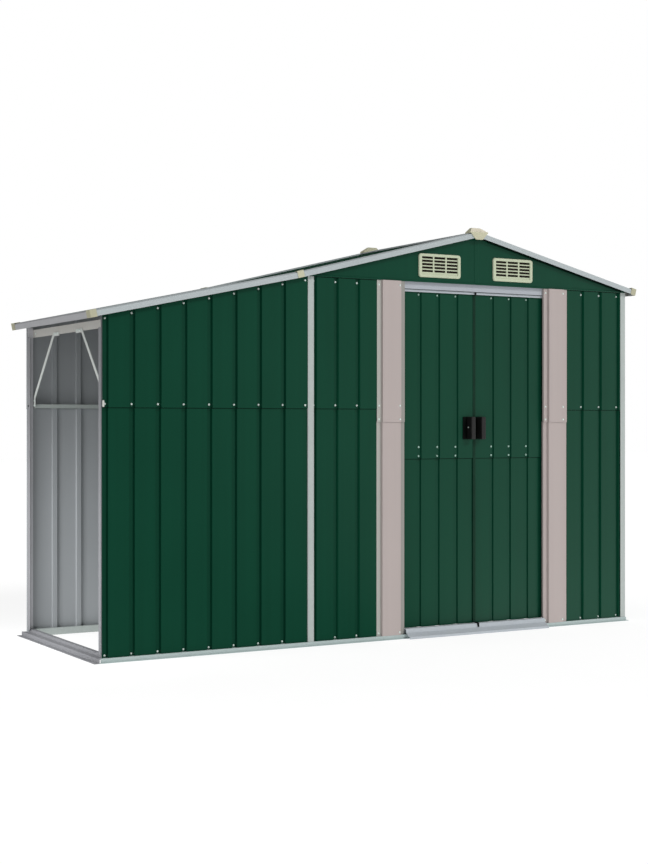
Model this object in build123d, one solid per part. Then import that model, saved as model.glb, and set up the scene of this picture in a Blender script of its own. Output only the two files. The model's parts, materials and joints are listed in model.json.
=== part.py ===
from build123d import *
import math
import os

os.makedirs("parts", exist_ok=True)

# Driving dimensions of the shed, in mm
main_width = 1714.0
lean_to_width = 913.0
wall_depth = 890.0
ridge_height = 1785.0
main_slope = 0.2456
lean_to_slope = 0.2121
main_overhang = 48.0
lean_to_overhang = 60.0
roof_overhang = 26.0
gable_drop = 28.0
panel_base_height = 18.0
seam_share = 0.6423
doorway_share = 0.4399
left_jamb_share = 0.0823
right_jamb_share = 0.0776

# Sheet metal
sheet_t = 1.0
frame_t = 1.5
groove_depth = 10.0
groove_floor_width = 18.0
groove_mouth_width = 24.0
upper_step = 4.0
lap_height = 3.0
gable_lap = 10.0
lean_to_pitch = 112.0
lean_to_first_groove = 14.0
main_pitch_share = 0.06173
left_groove_share = 0.287
right_groove_share = 0.851
front_groove_count = 3
side_groove_count = 8
roof_pitch = 118.0
roof_groove_depth = 20.0
roof_groove_mouth = 36.0

# Base rails
rail_inner = 30.0
rail_height = 30.0
rail_toe = 18.0
left_rail_toe = 38.0
left_rail_face = 15.0
rail_face = 7.0
rail_t = 2.0
mitre_gap = 0.2

# Posts and rails inside the walls
post_leg = 28.0
open_post_leg = 25.0
mid_rail_height = 17.0
mid_rail_depth = 28.0
mid_rail_inset = 60.0
plate_width = 26.0
plate_height = 34.0
ridge_beam_width = 40.0
ridge_beam_height = 40.0

# Roof trim
fascia_height = 27.0
flange_width = 16.0
flange_rise = 5.0
sheet_drop = 7.0
eave_trim_height = 29.0
trim_gap = 1.0
cap_t = 2.0
cap_along_fascia = 26.0
cap_along_eave = 38.0
ridge_strip_width = 55.0

# Ridge end cap: a six-sided shield with a hood lying back over the ridge
shield_rise = 15.0
shield_top_half = 23.0
shield_half_width = 48.0
shield_shoulder_drop = 6.0
shield_foot_half = 18.0
shield_foot_drop = 39.0
shield_t = 4.0
hood_depth = 38.0
hood_slant = 28.0
clip_length = 30.0

# Gable vents
vent_width_share = 0.12836
vent_height_share = 0.4705
vent_offset_share = 0.1155
vent_base = 22.0
vent_t = 7.0
vent_corner = 13.0
vent_edge = 2.5
vent_rim_share = 0.068
vent_pocket_depth = 2.5
vent_row_count = 5
vent_column_count = 3
vent_slot_height_share = 0.092
vent_slot_pitch_share = 0.141
vent_slot_width_share = 0.2636
vent_slot_gap_share = 0.0318
vent_slot_shift_share = 0.048
vent_slot_tilt = 12.0
vent_hole_margin = 20.0

# Sliding doors
door_recess = 22.0
door_lap = 40.0
door_base = 41.0
door_top_drop = 24.0
door_seam_share = 0.502
door_groove_depth = 6.0
door_shift = 4.0
door_pitch_share = 0.1289
door_groove_count = 4
door_rail_base = 30.0
door_rail_top = 60.0
door_frame_width = 22.0
door_frame_depth = 8.0
door_gap = 9.0
door_clearance = 5.0
handle_height = 100.0
handle_plate_width = 46.0
handle_plate_t = 4.0
handle_seam_inset = 11.0
handle_grip_width = 24.0
handle_grip_depth = 36.0
handle_share = 0.5563
handle_corner = 4.0
shoe_length = 60.0
shoe_inset = 30.0
shoe_web_t = 3.0

# Header track over the doors
header_face_drop = 42.0
header_lip_drop = 31.5
header_lip_setback = 4.0
header_rise = 16.0
header_depth = 50.0
track_lip_drop = 14.0
track_lip_width = 9.0
shoe_play = 0.5
header_end_gap = 85.0

# Sill ramp under the doorway
sill_reach = 45.0
sill_toe_run = 2.0
sill_toe_height = 10.0
sill_step_reach = 9.0
sill_step_height = 25.0
sill_top_reach = 4.0
sill_height = 42.0
sill_lap = 1.0

# Jamb hat section
jamb_lift = 10.0
jamb_flange = 22.0
jamb_step = 2.0
jamb_joint_share = 0.6055

# Lean-to beam and braces
beam_height = 34.0
beam_width = 20.0
beam_drop = 16.0
brace_reach = 248.0
brace_wall_gap = 28.0
brace_foot_rise = 32.0
brace_foot_lap = 10.0
brace_tab = 70.0
brace_width = 16.0
brace_tab_show = 6.0
brace_t = 2.5

# Derived frame: the origin is under the middle of the outer box
overall_width = lean_to_overhang + lean_to_width + main_width + main_overhang + 2 * cap_t
x_lean = -overall_width / 2 + cap_t + lean_to_overhang
x_main = x_lean + lean_to_width
x_right = x_main + main_width
x_ridge = (x_main + x_right) / 2
back_reach = roof_overhang + max(cap_t, shield_t)
y_front = (sill_reach - back_reach - wall_depth) / 2
y_back = y_front + wall_depth
y_fascia = y_front - roof_overhang
y_fascia_back = y_back + roof_overhang
post_lift = upper_step + frame_t
inner_face = groove_depth + sheet_t
upper_inner_face = inner_face - upper_step
corner_clear = inner_face + frame_t
x_left_wall = x_main + post_lift
x_right_wall = x_right - post_lift
main_angle = math.degrees(math.atan(main_slope))
lean_to_angle = math.degrees(math.atan(lean_to_slope))
half_span = main_width / 2 + main_overhang
gable_base_height = ridge_height - main_slope * main_width / 2 - gable_drop
seam_height = gable_base_height * seam_share
jamb_joint_height = gable_base_height * jamb_joint_share
door_top = gable_base_height - door_top_drop
door_seam = gable_base_height * door_seam_share
handle_base = gable_base_height * handle_share
header_face_base = gable_base_height - header_face_drop
header_lip_top = gable_base_height - header_lip_drop
header_top = gable_base_height + header_rise
track_lip_height = gable_base_height - track_lip_drop
eave_height = ridge_height - main_slope * half_span
x_junction = x_ridge - half_span
lean_to_span = x_junction - (x_lean - lean_to_overhang)
main_length = half_span / math.cos(math.radians(main_angle))
lean_to_length = lean_to_span / math.cos(math.radians(lean_to_angle))
roof_depth = wall_depth + 2 * roof_overhang
roof_underside = sheet_drop + roof_groove_depth + sheet_t
doorway_width = main_width * doorway_share
left_jamb_width = main_width * left_jamb_share
right_jamb_width = main_width * right_jamb_share
main_pitch = main_width * main_pitch_share
door_pitch = doorway_width * door_pitch_share
x_seam = x_ridge + door_shift
x_door_left = x_ridge - doorway_width / 2
x_door_right = x_ridge + doorway_width / 2
x_jamb_left = x_door_left - left_jamb_width
x_jamb_right = x_door_right + right_jamb_width
door_width = doorway_width / 2 + door_lap - door_gap / 2
panel_gap = 1.0


def offset_line(points, distance):
    """Mitred offset of an open line to the left of its direction."""
    normals = []
    for (xa, ya), (xb, yb) in zip(points, points[1:]):
        span = math.hypot(xb - xa, yb - ya)
        normals.append((-(yb - ya) / span, (xb - xa) / span))
    result = []
    for index, (x, y) in enumerate(points):
        before = normals[max(index - 1, 0)]
        after = normals[min(index, len(normals) - 1)]
        scale = 1 + before[0] * after[0] + before[1] * after[1]
        nx = (before[0] + after[0]) / scale
        ny = (before[1] + after[1]) / scale
        result.append((x + nx * distance, y + ny * distance))
    return result


def bent_sheet(points, thickness, length):
    """A sheet bent along an open line, thickened to its left, drawn out along Z."""
    outline = points + offset_line(points, thickness)[::-1]
    return extrude(make_face(Polyline(*outline, close=True)), amount=length, dir=(0, 0, 1))


def prism(points, length):
    """A closed outline in XY drawn out along Z."""
    return extrude(make_face(Polyline(*points, close=True)), amount=length, dir=(0, 0, 1))


def block(x0, x1, y0, y1, z0, z1):
    corner = (Align.MIN, Align.MIN, Align.MIN)
    return Pos(x0, y0, z0) * Box(x1 - x0, y1 - y0, z1 - z0, align=corner)


def cladding(length, grooves, height, depth=groove_depth, mouth=groove_mouth_width):
    """Ribbed sheet along X, its boards facing -Y at y = 0, grooves sunk towards +Y."""
    points = [(0, 0)]
    for centre in sorted(grooves):
        points.append((centre - mouth / 2, 0))
        points.append((centre - groove_floor_width / 2, depth))
        points.append((centre + groove_floor_width / 2, depth))
        points.append((centre + mouth / 2, 0))
    points.append((length, 0))
    return bent_sheet(points, sheet_t, height)


def even_grooves(length, count):
    step = length / count
    return [step * index + step / 2 for index in range(count)]


def face_front(x, y, z):
    return Pos(x, y, z)


def face_back(x, y, z):
    return Pos(x, y, z) * Rot(0, 0, 180)


def face_right(x, y, z):
    return Pos(x, y, z) * Rot(0, 0, 90)


def face_left(x, y, z):
    return Pos(x, y, z) * Rot(0, 0, -90)


def wall_sheets(placer, x, y, outward, length, grooves, top, base=panel_base_height):
    """Lower and upper ribbed sheet of one wall, the upper one lapped over the lower."""
    lower = placer(x, y, base)
    lower = lower * cladding(length, grooves, seam_height + lap_height - base)
    upper = placer(x + outward[0] * upper_step, y + outward[1] * upper_step, seam_height)
    upper = upper * cladding(length, grooves, top - seam_height)
    return lower, upper


def channel(length, height, depth):
    """C-section along X, open towards -Y, its web at y = depth."""
    outer = block(0, length, 0, depth, 0, height)
    return outer - block(0, length, 0, depth - frame_t, frame_t, height - frame_t)


def slope_right(offset=0):
    """Frame of the right roof slope: X along -Y of the shed, Z down the slope."""
    angle = math.radians(main_angle)
    start = (x_ridge + offset * math.cos(angle), y_fascia_back, ridge_height - offset * math.sin(angle))
    run = (math.cos(angle), 0, -math.sin(angle))
    return Plane(origin=start, x_dir=(0, -1, 0), z_dir=run).location


def slope_left(offset=0):
    angle = math.radians(main_angle)
    start = (x_ridge - offset * math.cos(angle), y_fascia, ridge_height - offset * math.sin(angle))
    run = (-math.cos(angle), 0, -math.sin(angle))
    return Plane(origin=start, x_dir=(0, 1, 0), z_dir=run).location


def slope_lean_to(offset=0):
    angle = math.radians(lean_to_angle)
    start = (x_junction - offset * math.cos(angle), y_fascia, eave_height - offset * math.sin(angle))
    run = (-math.cos(angle), 0, -math.sin(angle))
    return Plane(origin=start, x_dir=(0, 1, 0), z_dir=run).location


def roof_height(x):
    """Height of the top of the roof trim over a place along X."""
    if x < x_junction:
        return eave_height - lean_to_slope * (x_junction - x)
    return ridge_height - main_slope * abs(x - x_ridge)


def underside(x):
    slope = lean_to_slope if x < x_junction else main_slope
    return roof_height(x) - roof_underside * math.hypot(1, slope)


def across(points, y0, y1):
    """A closed outline in XZ drawn out along Y."""
    face = make_face(Polyline(*[(x, y0, z) for x, z in points], close=True))
    return extrude(face, amount=y1 - y0, dir=(0, 1, 0))


nodes = {}


def keep(name, *pieces):
    nodes[name] = list(pieces)


# Base rails: web inside, step under the wall sheets, toe on the ground
def base_rail(length, toe=rail_toe, face_reach=rail_face):
    """Rail along X, outside facing -Y, standing on z = 0, mitred where it meets the next."""
    line = [
        (-toe, 0),
        (-face_reach, 0),
        (-face_reach, panel_base_height - rail_t),
        (inner_face + rail_t, panel_base_height - rail_t),
        (inner_face + rail_t, rail_height - rail_t),
        (rail_inner - rail_t, rail_height - rail_t),
        (rail_inner - rail_t, 0),
    ]
    outline = line + offset_line(line, rail_t)[::-1]
    face = make_face(Polyline(*[(-rail_toe, y, z) for y, z in outline], close=True))
    rail = extrude(face, amount=length + 2 * rail_toe, dir=(1, 0, 0))
    reach = 2 * rail_inner
    mitre = prism([(-rail_toe, -rail_toe), (reach, reach), (-reach, reach), (-reach, -rail_toe)], reach)
    rail -= Pos(mitre_gap, 0, 0) * mitre
    return rail - Pos(length - mitre_gap, 0, 0) * mitre.mirror(Plane.YZ)


base_length = x_right_wall - x_lean
keep("front_base_rail", face_front(x_lean, y_front, 0) * base_rail(base_length))
keep("back_base_rail", face_back(x_right_wall, y_back, 0) * base_rail(base_length))
left_rail = base_rail(wall_depth, left_rail_toe, left_rail_face)
keep("left_base_rail", face_left(x_lean, y_back, 0) * left_rail)
keep("right_base_rail", face_right(x_right_wall, y_front, 0) * base_rail(wall_depth))
middle_line = [(0, 0), (0, rail_height - rail_t), (rail_inner, rail_height - rail_t), (rail_inner, 0)]
middle_length = wall_depth - 2 * rail_inner - 2 * mitre_gap
keep(
    "middle_base_rail",
    Pos(x_left_wall - upper_step, y_front + rail_inner + mitre_gap, 0)
    * Rot(90, 0, 0)
    * Pos(0, 0, -middle_length)
    * bent_sheet(middle_line, rail_t, middle_length),
)

# Walls
lean_to_count = int((lean_to_width - lean_to_first_groove) / lean_to_pitch) + 1
lean_to_grooves = [lean_to_first_groove + lean_to_pitch * index for index in range(lean_to_count)]
lean_to_grooves = [place for place in lean_to_grooves if place < lean_to_width - groove_mouth_width / 2]
lean_to_top = roof_height(x_main)
lean_to_length_x = lean_to_width - panel_gap
roof_cut = [
    (x_lean - lean_to_overhang, underside(x_lean - lean_to_overhang)),
    (x_junction, underside(x_junction)),
    (x_main, underside(x_main)),
    (x_main, ridge_height),
    (x_lean - lean_to_overhang, ridge_height),
]
above_lean_to = across(roof_cut, y_fascia, y_fascia_back)
lower, upper = wall_sheets(
    face_front, x_lean, y_front, (0, -1), lean_to_length_x, lean_to_grooves, lean_to_top
)
keep("lean_to_front_wall", lower, upper - above_lean_to)
back_grooves = [lean_to_length_x - place for place in lean_to_grooves]
lower, upper = wall_sheets(
    face_back, x_main - panel_gap, y_back, (0, 1), lean_to_length_x, back_grooves, lean_to_top
)
keep("lean_to_back_wall", lower, upper - above_lean_to)

left_panel_length = x_jamb_left - x_main - frame_t
right_panel_length = x_right - frame_t - x_jamb_right
front_top = gable_base_height + gable_lap
front_places = [main_pitch * index for index in range(front_groove_count)]
left_places = [main_pitch * left_groove_share + place for place in front_places]
lower, upper = wall_sheets(
    face_front, x_main + frame_t, y_front, (0, -1), left_panel_length, left_places, front_top
)
keep("front_left_wall", lower, upper)
right_places = [main_pitch * right_groove_share + place for place in front_places]
lower, upper = wall_sheets(
    face_front, x_jamb_right, y_front, (0, -1), right_panel_length, right_places, front_top
)
keep("front_right_wall", lower, upper)

side_length = wall_depth - 2 * corner_clear
side_top = underside(x_right_wall) - panel_gap
places = even_grooves(side_length, side_groove_count)
y_side = y_front + corner_clear
lower, upper = wall_sheets(face_right, x_right_wall, y_side, (1, 0), side_length, places, side_top)
keep("right_wall", lower, upper)
lower, upper = wall_sheets(
    face_left, x_left_wall, y_side + side_length, (-1, 0), side_length, places, side_top, rail_height
)
keep("left_wall", lower, upper)

back_length = main_width - 2 * frame_t
back_places = even_grooves(back_length, round(back_length / main_pitch))
lower, upper = wall_sheets(
    face_back, x_right - frame_t, y_back, (0, 1), back_length, back_places, front_top
)
keep("back_wall", lower, upper)

# Corner posts: outer angles over the ends of the sheets
post_height = gable_base_height - panel_base_height
post_front = y_front - post_lift
post_back = y_back + post_lift


def corner_post(x, y, sx, sy, side_leg=post_leg):
    """Angle with its outer corner at x, y; sx and sy point into the shed."""
    leg_x = sorted((x, x + sx * post_leg))
    leg_y = sorted((y, y + sy * side_leg))
    thin_x = sorted((x, x + sx * frame_t))
    thin_y = sorted((y, y + sy * frame_t))
    top = panel_base_height + post_height
    front = block(leg_x[0], leg_x[1], thin_y[0], thin_y[1], panel_base_height, top)
    side = block(thin_x[0], thin_x[1], leg_y[0], leg_y[1], panel_base_height, top)
    return front + side


short_leg = post_lift + inner_face
keep("front_corner_post", corner_post(x_main, post_front, 1, 1, short_leg))
keep("back_corner_post", corner_post(x_main, post_back, 1, -1, short_leg))
keep("front_right_post", corner_post(x_right, post_front, -1, 1))
keep("back_right_post", corner_post(x_right, post_back, -1, -1))


beam_x0 = x_lean + open_post_leg
beam_top = underside(beam_x0) - beam_drop
beam_base = beam_top - beam_height


def open_post(y, sy):
    """Angle at the open end of a lean-to wall, flat on the wall at y, its deep leg up to the beam."""
    top = underside(x_lean) - panel_gap
    thin_y = sorted((y, y + sy * frame_t))
    deep_y = sorted((y, y + sy * open_post_leg))
    flat = block(x_lean, beam_x0, thin_y[0], thin_y[1], rail_height, top)
    return flat + block(x_lean, x_lean + frame_t, deep_y[0], deep_y[1], rail_height, beam_base)


keep("lean_to_front_post", open_post(y_front + inner_face, 1))
keep("lean_to_back_post", open_post(y_back - inner_face, -1))

# Gables: flat sheets outside the wall sheets, open behind the vents
gable_rise = underside(x_ridge)
gable_reach = min(main_width / 2, (gable_rise - gable_base_height - panel_gap) / main_slope)
gable_x0 = x_ridge - gable_reach
gable_x1 = x_ridge + gable_reach
gable_outline = [
    (gable_x0, gable_base_height),
    (gable_x1, gable_base_height),
    (gable_x1, underside(gable_x1)),
    (x_ridge, gable_rise),
    (gable_x0, underside(gable_x0)),
]
gable_y0 = y_front - post_lift
gable_y1 = y_front - upper_step
back_gable_y0 = y_back + upper_step
back_gable_y1 = y_back + post_lift
vent_offset = main_width * vent_offset_share
vent_width = main_width * vent_width_share
vent_height = vent_width * vent_height_share
vent_places = [x_ridge - vent_offset, x_ridge + vent_offset]
vent_z0 = gable_base_height + vent_base


def gable(near, far):
    sheet = across(gable_outline, near, far)
    hole_half = vent_width / 2 - vent_hole_margin
    hole_z0 = vent_z0 + vent_hole_margin
    hole_z1 = vent_z0 + vent_height - vent_hole_margin
    for x in vent_places:
        sheet -= block(x - hole_half, x + hole_half, near, far, hole_z0, hole_z1)
    return sheet


keep("front_gable", gable(gable_y0, gable_y1))
keep("back_gable", gable(back_gable_y0, back_gable_y1))


def vent(x, y, turned):
    """Louvred plate with its back at y, its face turned to the front or to the back."""
    middle_z = vent_height / 2
    plate = Pos(0, -vent_t / 2, middle_z) * Box(vent_width, vent_t, vent_height)
    plate = fillet(plate.edges().filter_by(Axis.Y), vent_corner)
    plate = chamfer(plate.faces().sort_by(Axis.Y)[0].edges(), vent_edge)
    shift = vent_height * vent_slot_shift_share
    rim = vent_width * vent_rim_share
    pocket_height = vent_height - 2 * rim + shift
    plate -= Pos(0, -vent_t, middle_z) * Box(vent_width - 2 * rim, 2 * vent_pocket_depth, pocket_height)
    slot_width = vent_width * vent_slot_width_share
    slot_height = vent_height * vent_slot_height_share
    row_step = vent_height * vent_slot_pitch_share
    column_step = slot_width + vent_width * vent_slot_gap_share
    first_z = middle_z + shift - row_step * (vent_row_count - 1) / 2
    for row in range(vent_row_count):
        z = first_z + row * row_step
        for column in range(vent_column_count):
            centre = (column - (vent_column_count - 1) / 2) * column_step
            slot = Rot(vent_slot_tilt, 0, 0) * Box(slot_width, 4 * vent_t, slot_height)
            plate -= Pos(centre, -vent_t / 2, z) * slot
    return Pos(x, y, vent_z0) * Rot(0, 0, 180 * turned) * plate


keep("front_vents", *[vent(x, gable_y0, False) for x in vent_places])
keep("back_vents", *[vent(x, back_gable_y1, True) for x in vent_places])

# Door jambs: hat sections between the wall sheets and the doorway, the upper lapped over the lower
def jamb(x, width, mirror):
    """Lower and upper piece of one jamb, x on its outer edge."""
    line = [
        (0, 0),
        (jamb_flange, 0),
        (jamb_flange + jamb_step, -jamb_lift),
        (width - jamb_flange - jamb_step, -jamb_lift),
        (width - jamb_flange, 0),
        (width, 0),
        (width, inner_face),
    ]
    lower = Pos(0, 0, panel_base_height)
    lower = lower * bent_sheet(line, frame_t, jamb_joint_height + lap_height - panel_base_height)
    upper = Pos(0, -upper_step, jamb_joint_height)
    upper = upper * bent_sheet(line, frame_t, gable_base_height - jamb_joint_height)
    pieces = [lower, upper]
    if mirror:
        pieces = [piece.mirror(Plane.YZ) for piece in pieces]
    return [Pos(x, y_front, 0) * piece for piece in pieces]


keep("left_jamb", *jamb(x_jamb_left, left_jamb_width, False))
keep("right_jamb", *jamb(x_jamb_right, right_jamb_width, True))

# Header track: front face over a set-back lip, top and a back web with the lip the shoes ride on
header_front = y_front + upper_inner_face
header_x0 = x_main + header_end_gap
header_x1 = x_right - header_end_gap
header_line = [
    (header_lip_setback, header_face_base),
    (header_lip_setback, header_lip_top),
    (0, header_lip_top + frame_t),
    (0, header_top),
    (header_depth, header_top),
    (header_depth, track_lip_height),
    (header_depth - track_lip_width, track_lip_height),
]
header_outline = header_line + offset_line(header_line, -frame_t)[::-1]
header_points = [(header_x0, header_front + y, z) for y, z in header_outline]
header_face = make_face(Polyline(*header_points, close=True))
keep("header_track", extrude(header_face, amount=header_x1 - header_x0, dir=(1, 0, 0)))

# Sill: a stepped ramp in front of the base rail
sill_back = inner_face + rail_t + sill_lap
sill_line = [
    (-sill_reach, 0),
    (sill_toe_run - sill_reach, sill_toe_height),
    (-rail_face - sill_step_reach, sill_step_height),
    (-rail_face - sill_top_reach, sill_height),
    (sill_back, sill_height),
    (sill_back, rail_height),
]
sill_section = sill_line + offset_line(sill_line, -rail_t)[::-1]
sill_points = [(x_door_left + panel_gap, y_front + y, max(z, 0)) for y, z in sill_section]
sill_face = make_face(Polyline(*sill_points, close=True))
keep("door_sill", extrude(sill_face, amount=doorway_width - 2 * panel_gap, dir=(1, 0, 0)))

# Doors
shoe_base = track_lip_height + frame_t + shoe_play
y_door = y_front + door_recess
frame_front = y_door + door_groove_depth + sheet_t
frame_back = frame_front + door_frame_depth


def door(side):
    """Sheets, frame, handle and shoes of one door; side is -1 for the left door."""
    seam_edge = x_seam + side * door_gap / 2
    outer_edge = seam_edge + side * door_width
    x0, x1 = sorted((seam_edge, outer_edge))
    steps = [side * (index + 1) for index in range(door_groove_count)]
    grooves = [x_seam + door_pitch * step - x0 for step in steps]
    lower = Pos(x0, y_door, door_base)
    lower = lower * cladding(door_width, grooves, door_seam + lap_height - door_base, door_groove_depth)
    upper = Pos(x0, y_door - upper_step, door_seam)
    upper = upper * cladding(door_width, grooves, door_top - door_seam, door_groove_depth)
    frame = block(x0, x1, frame_front, frame_back, door_base, door_top)
    hole = block(
        x0 + door_frame_width,
        x1 - door_frame_width,
        frame_front,
        frame_back,
        door_base + door_frame_width,
        door_top - door_frame_width,
    )
    frame -= hole
    bar_base = door_seam + door_rail_base
    bar_top = door_seam + door_rail_top
    spacer = block(x0, x1, frame_front - upper_step, frame_front, bar_base, bar_top)
    rail = block(x0, x1, frame_front, frame_back, door_seam, bar_top)
    top_pad = block(x0, x1, frame_front - upper_step, frame_front, door_top - door_frame_width, door_top)
    frame = frame + rail + spacer + top_pad
    inner = seam_edge + side * handle_seam_inset
    plate_x = sorted((inner, inner + side * handle_plate_width))
    grip_x = sorted((inner, inner + side * handle_grip_width))
    y_face = y_door - upper_step
    handle_top = handle_base + handle_height
    plate = block(plate_x[0], plate_x[1], y_face - handle_plate_t, y_face, handle_base, handle_top)
    plate = fillet(plate.edges().filter_by(Axis.Y), handle_corner)
    grip = block(grip_x[0], grip_x[1], y_face - handle_grip_depth, y_face, handle_base, handle_top)
    grip = fillet(grip.edges().filter_by(Axis.Y), handle_corner)
    grip = fillet(grip.faces().sort_by(Axis.Y)[0].edges(), handle_corner)
    handle = plate + grip
    shoes = []
    for place in (x0 + shoe_inset, x1 - shoe_inset - shoe_length):
        shoes.append(
            block(
                place,
                place + shoe_length,
                frame_back,
                header_front + header_depth - frame_t - door_clearance,
                shoe_base,
                header_top - frame_t - door_clearance,
            )
            + block(
                place,
                place + shoe_length,
                frame_back,
                frame_back + shoe_web_t,
                door_top - door_frame_width,
                shoe_base,
            )
        )
    return (lower, upper), frame, handle, shoes


for name, side in (("left", -1), ("right", 1)):
    sheets, frame, handle, shoes = door(side)
    keep(name + "_door_panels", *sheets)
    keep(name + "_door_frame", frame)
    keep(name + "_door_handle", handle)
    keep(name + "_door_shoes", *shoes)

# Rails and plates inside the walls
rail_z = seam_height + lap_height + panel_gap
rail_top = rail_z + mid_rail_height
lean_to_rail = channel(lean_to_width - 2 * open_post_leg, mid_rail_height, mid_rail_depth)
side_rail = channel(side_length - 2 * mid_rail_inset, mid_rail_height, mid_rail_depth)
back_rail = channel(main_width - 2 * post_leg, mid_rail_height, mid_rail_depth)
keep(
    "mid_rails",
    face_front(x_lean + open_post_leg, y_front + upper_inner_face, rail_z) * lean_to_rail,
    face_back(x_main - open_post_leg, y_back - upper_inner_face, rail_z) * lean_to_rail,
    face_back(x_right - post_leg, y_back - upper_inner_face, rail_z) * back_rail,
    face_right(x_right_wall - upper_inner_face, y_side + mid_rail_inset, rail_z) * side_rail,
    face_left(x_left_wall + upper_inner_face, y_side + side_length - mid_rail_inset, rail_z) * side_rail,
)


def eave_plate(x, sx):
    """Bar under the roof along a side wall, its top cut to the slope."""
    inner = x + sx * plate_width
    bottom = underside(x) - plate_height
    return [(x, bottom), (inner, bottom), (inner, underside(inner)), (x, underside(x))]


plate_y0 = y_front + header_depth + 2 * upper_inner_face
plate_y1 = y_back - corner_clear
keep(
    "wall_plates",
    across(eave_plate(x_left_wall + upper_inner_face, 1), plate_y0, plate_y1),
    across(eave_plate(x_right_wall - upper_inner_face, -1), plate_y0, plate_y1),
)
half_beam = ridge_beam_width / 2
ridge_outline = [
    (x_ridge - half_beam, gable_rise - ridge_beam_height),
    (x_ridge + half_beam, gable_rise - ridge_beam_height),
    (x_ridge + half_beam, underside(x_ridge + half_beam)),
    (x_ridge, underside(x_ridge)),
    (x_ridge - half_beam, underside(x_ridge - half_beam)),
]
keep("ridge_beam", across(ridge_outline, gable_y1, back_gable_y0))

# Lean-to beam across the open side: an angle between the posts, and its knee braces
beam_y0 = y_front + upper_inner_face
beam_y1 = y_back - upper_inner_face
beam_web = block(beam_x0, beam_x0 + frame_t, beam_y0, beam_y1, beam_base, beam_top)
beam_flange = block(beam_x0, beam_x0 + beam_width, beam_y0, beam_y1, beam_top - frame_t, beam_top)
keep("lean_to_beam", beam_web + beam_flange)


def brace(y, sy):
    """Flat strip from the mid rail up to the beam, its foot upright and its head a level tab."""
    foot = y + sy * brace_wall_gap
    head = foot + sy * brace_reach
    tab_top = beam_base + brace_width - brace_tab_show
    line = [
        (foot, rail_top - brace_foot_lap),
        (foot, rail_top + brace_foot_rise),
        (head, tab_top),
        (head + sy * brace_tab, tab_top),
    ]
    outline = line + offset_line(line, -sy * brace_width)[::-1]
    face = make_face(Polyline(*[(beam_x0 - brace_t, a, z) for a, z in outline], close=True))
    return extrude(face, amount=brace_t, dir=(1, 0, 0))


keep("knee_braces", brace(y_front, 1), brace(y_back, -1))

# Roof sheets
sheet_span = roof_depth - 2 * frame_t
roof_grooves = even_grooves(sheet_span, round(sheet_span / roof_pitch))
sheet_start = 2 * sheet_t


def roof_sheet(slope, start, end):
    sheet = cladding(sheet_span, roof_grooves, end - start, roof_groove_depth, roof_groove_mouth)
    return slope(start) * Pos(frame_t, sheet_drop, 0) * sheet


keep("roof_right", roof_sheet(slope_right, groove_depth, main_length - frame_t))
keep("roof_left", roof_sheet(slope_left, groove_depth, main_length))
keep("lean_to_roof", roof_sheet(slope_lean_to, sheet_start, lean_to_length - frame_t))

# Fascias along the front and back edges of the roof: face, rising top and a leg down on the sheet
fascia_line = [(0, fascia_height), (0, flange_rise), (flange_width, 0), (flange_width, sheet_drop)]
fascia_section = fascia_line + offset_line(fascia_line, frame_t)[::-1]
back_section = [(roof_depth - x, y) for x, y in fascia_section]
ridge_side_cut = block(
    x_ridge - trim_gap / 2 - half_span,
    x_ridge + trim_gap / 2,
    2 * y_fascia,
    2 * y_fascia_back,
    eave_height,
    2 * ridge_height,
)
other_side_cut = Pos(half_span, 0, 0) * ridge_side_cut


def fascias(section, swapped):
    right = slope_right(-fascia_height) * prism(swapped, main_length + fascia_height)
    left = slope_left(-fascia_height) * prism(section, main_length + fascia_height)
    lean_to = slope_lean_to(trim_gap) * prism(section, lean_to_length - trim_gap)
    return right - ridge_side_cut, left - other_side_cut, lean_to


keep("front_fascia", *fascias(fascia_section, back_section))
keep("back_fascia", *fascias(back_section, fascia_section))

# Eave trims along the two long ends of the roof
trim_span = roof_depth - 2 * (flange_width + trim_gap)


def eave_trim(slope, length):
    line = [
        (length, eave_trim_height),
        (length, flange_rise),
        (length - flange_width, 0),
        (length - flange_width, sheet_drop),
    ]
    outline = line + offset_line(line, -frame_t)[::-1]
    face = make_face(Polyline(*[(flange_width + trim_gap, y, z) for z, y in outline], close=True))
    return slope() * extrude(face, amount=trim_span, dir=(1, 0, 0))


keep("eave_trims", eave_trim(slope_right, main_length), eave_trim(slope_lean_to, lean_to_length))

# Plastic corner caps over the ends of fascia and eave trim

def corner_cap(slope, length, at_start):
    outer = block(-cap_t, cap_along_eave, -cap_t, eave_trim_height, length - cap_along_fascia, length + cap_t)
    inner = block(0, 2 * cap_along_eave, 0, 2 * eave_trim_height, length - 2 * cap_along_fascia, length)
    cap = outer - inner
    if not at_start:
        cap = Pos(roof_depth, 0, 0) * cap.mirror(Plane.YZ)
    return slope() * cap


keep(
    "corner_caps",
    corner_cap(slope_right, main_length, True),
    corner_cap(slope_right, main_length, False),
    corner_cap(slope_lean_to, lean_to_length, True),
    corner_cap(slope_lean_to, lean_to_length, False),
)

# Ridge strip over the joint of the two slopes, its edges turned down on the sheets
strip_edge = ridge_height - main_slope * ridge_strip_width
strip_leg = (sheet_drop - frame_t) * math.hypot(1, main_slope)
strip_line = [
    (x_ridge - ridge_strip_width, strip_edge - strip_leg),
    (x_ridge - ridge_strip_width, strip_edge),
    (x_ridge, ridge_height),
    (x_ridge + ridge_strip_width, strip_edge),
    (x_ridge + ridge_strip_width, strip_edge - strip_leg),
]
strip_section = strip_line + offset_line(strip_line, -frame_t)[::-1]
strip_inset = flange_width + trim_gap
keep("ridge_strip", across(strip_section, y_fascia + strip_inset, y_fascia_back - strip_inset))

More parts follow.
